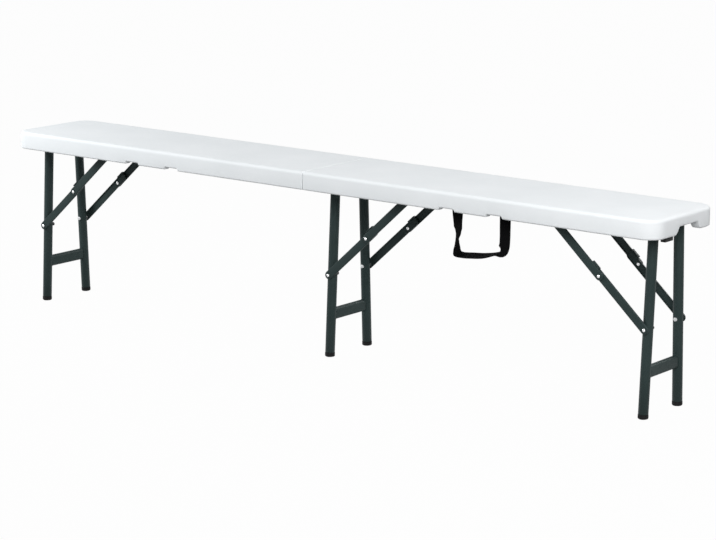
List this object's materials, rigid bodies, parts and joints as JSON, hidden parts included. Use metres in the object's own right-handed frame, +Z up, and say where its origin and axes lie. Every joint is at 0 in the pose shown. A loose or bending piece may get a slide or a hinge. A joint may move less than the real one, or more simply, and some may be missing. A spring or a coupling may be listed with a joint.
{
  "type": "folding bench",
  "caption": "Long narrow folding bench: a white moulded seat board in two hinged halves on dark splayed folding leg frames with side braces and a webbing carrying strap.",
  "frame": {"origin": "on the floor, below the middle of the seat board", "axes": "+X along the bench towards the half that has the middle leg and the strap, +Y across the bench away from the strap, +Z up"},
  "size_m": [1.83, 0.25, 0.43],
  "materials": {
    "seat_plastic": "fine-textured white polyethylene, low sheen",
    "frame_coat": "dark green-grey powder coat, satin",
    "zinc_steel": "zinc-plated sheet steel",
    "rivet_zinc": "bright zinc-plated rivets",
    "foot_plastic": "matt black moulded foot plugs",
    "webbing": "black woven polypropylene webbing",
    "catch_plastic": "matt black"
  },
  "bodies": {
    "right_half": {"seat_half_right": "seat_plastic", "hinge_leaf_right": "zinc_steel", "hinge_pin": "zinc_steel", "middle_axle_clip": "zinc_steel", "right_axle_clip": "zinc_steel", "middle_brace_bracket_front": "frame_coat", "middle_brace_bracket_rear": "frame_coat", "right_brace_bracket_front": "frame_coat", "right_brace_bracket_rear": "frame_coat", "strap_end_left": "webbing", "strap_end_right": "webbing", "closing_catch": "catch_plastic"},
    "left_half": {"seat_half_left": "seat_plastic", "hinge_leaf_left": "zinc_steel", "left_axle_clip": "zinc_steel", "left_brace_bracket_front": "frame_coat", "left_brace_bracket_rear": "frame_coat"},
    "left_legs": {"left_leg_front": "frame_coat", "left_leg_rear": "frame_coat", "left_foot_front": "foot_plastic", "left_foot_rear": "foot_plastic", "left_leg_pin_front": "rivet_zinc", "left_leg_pin_rear": "rivet_zinc", "left_stretcher": "frame_coat", "left_axle": "frame_coat"},
    "left_upper_links": {"left_upper_link_front": "frame_coat", "left_upper_link_rear": "frame_coat", "left_brace_rivet_front": "rivet_zinc", "left_brace_rivet_rear": "rivet_zinc"},
    "left_lower_links": {"left_lower_link_front": "frame_coat", "left_lower_link_rear": "frame_coat"},
    "middle_legs": {"middle_leg_front": "frame_coat", "middle_leg_rear": "frame_coat", "middle_foot_front": "foot_plastic", "middle_foot_rear": "foot_plastic", "middle_leg_pin_front": "rivet_zinc", "middle_leg_pin_rear": "rivet_zinc", "middle_stretcher": "frame_coat", "middle_axle": "frame_coat"},
    "middle_upper_links": {"middle_upper_link_front": "frame_coat", "middle_upper_link_rear": "frame_coat", "middle_brace_rivet_front": "rivet_zinc", "middle_brace_rivet_rear": "rivet_zinc"},
    "middle_lower_links": {"middle_lower_link_front": "frame_coat", "middle_lower_link_rear": "frame_coat"},
    "right_legs": {"right_leg_front": "frame_coat", "right_leg_rear": "frame_coat", "right_foot_front": "foot_plastic", "right_foot_rear": "foot_plastic", "right_leg_pin_front": "rivet_zinc", "right_leg_pin_rear": "rivet_zinc", "right_stretcher": "frame_coat", "right_axle": "frame_coat"},
    "right_upper_links": {"right_upper_link_front": "frame_coat", "right_upper_link_rear": "frame_coat", "right_brace_rivet_front": "rivet_zinc", "right_brace_rivet_rear": "rivet_zinc"},
    "right_lower_links": {"right_lower_link_front": "frame_coat", "right_lower_link_rear": "frame_coat"},
    "carry_strap": {"strap_loop": "webbing"}
  },
  "joints": [
    {"name": "seat_fold", "type": "hinge", "parent": "right_half", "child": "left_half", "pos_m": [0, 0, 0.388], "axis": [0, -1, 0], "range_deg": [0, 180]},
    {"name": "left_leg_fold", "type": "hinge", "parent": "left_half", "child": "left_legs", "pos_m": [-0.868, 0, 0.404], "axis": [0, -1, 0], "range_deg": [0, 90]},
    {"name": "left_upper_link_fold", "type": "hinge", "parent": "left_half", "child": "left_upper_links", "pos_m": [-0.6307, 0, 0.404], "axis": [0, 1, 0], "range_deg": [0, 42.04]},
    {"name": "left_lower_link_fold", "type": "hinge", "parent": "left_upper_links", "child": "left_lower_links", "pos_m": [-0.758, 0, 0.2892], "axis": [0, -1, 0], "range_deg": [0, 180]},
    {"name": "middle_leg_fold", "type": "hinge", "parent": "right_half", "child": "middle_legs", "pos_m": [0.038, 0, 0.404], "axis": [0, -1, 0], "range_deg": [0, 90]},
    {"name": "middle_upper_link_fold", "type": "hinge", "parent": "right_half", "child": "middle_upper_links", "pos_m": [0.2753, 0, 0.404], "axis": [0, 1, 0], "range_deg": [0, 42.04]},
    {"name": "middle_lower_link_fold", "type": "hinge", "parent": "middle_upper_links", "child": "middle_lower_links", "pos_m": [0.148, 0, 0.2892], "axis": [0, -1, 0], "range_deg": [0, 180]},
    {"name": "right_leg_fold", "type": "hinge", "parent": "right_half", "child": "right_legs", "pos_m": [0.868, 0, 0.404], "axis": [0, 1, 0], "range_deg": [0, 90]},
    {"name": "right_upper_link_fold", "type": "hinge", "parent": "right_half", "child": "right_upper_links", "pos_m": [0.6307, 0, 0.404], "axis": [0, -1, 0], "range_deg": [0, 42.04]},
    {"name": "right_lower_link_fold", "type": "hinge", "parent": "right_upper_links", "child": "right_lower_links", "pos_m": [0.758, 0, 0.2892], "axis": [0, 1, 0], "range_deg": [0, 180]},
    {"name": "strap_swing", "type": "hinge", "parent": "right_half", "child": "carry_strap", "pos_m": [0.463, -0.087, 0.389], "axis": [-1, 0, 0], "range_deg": [0, 90]}
  ],
  "couplings": [
    {"joint": "left_leg_fold", "follows": "seat_fold", "ratio": 0.5},
    {"joint": "left_upper_link_fold", "follows": "seat_fold", "ratio": 0.23355},
    {"joint": "left_lower_link_fold", "follows": "seat_fold", "ratio": 1},
    {"joint": "middle_leg_fold", "follows": "seat_fold", "ratio": 0.5},
    {"joint": "middle_upper_link_fold", "follows": "seat_fold", "ratio": 0.23355},
    {"joint": "middle_lower_link_fold", "follows": "seat_fold", "ratio": 1},
    {"joint": "right_leg_fold", "follows": "seat_fold", "ratio": 0.5},
    {"joint": "right_upper_link_fold", "follows": "seat_fold", "ratio": 0.23355},
    {"joint": "right_lower_link_fold", "follows": "seat_fold", "ratio": 1},
    {"joint": "strap_swing", "follows": "seat_fold", "ratio": 0.5}
  ]
}
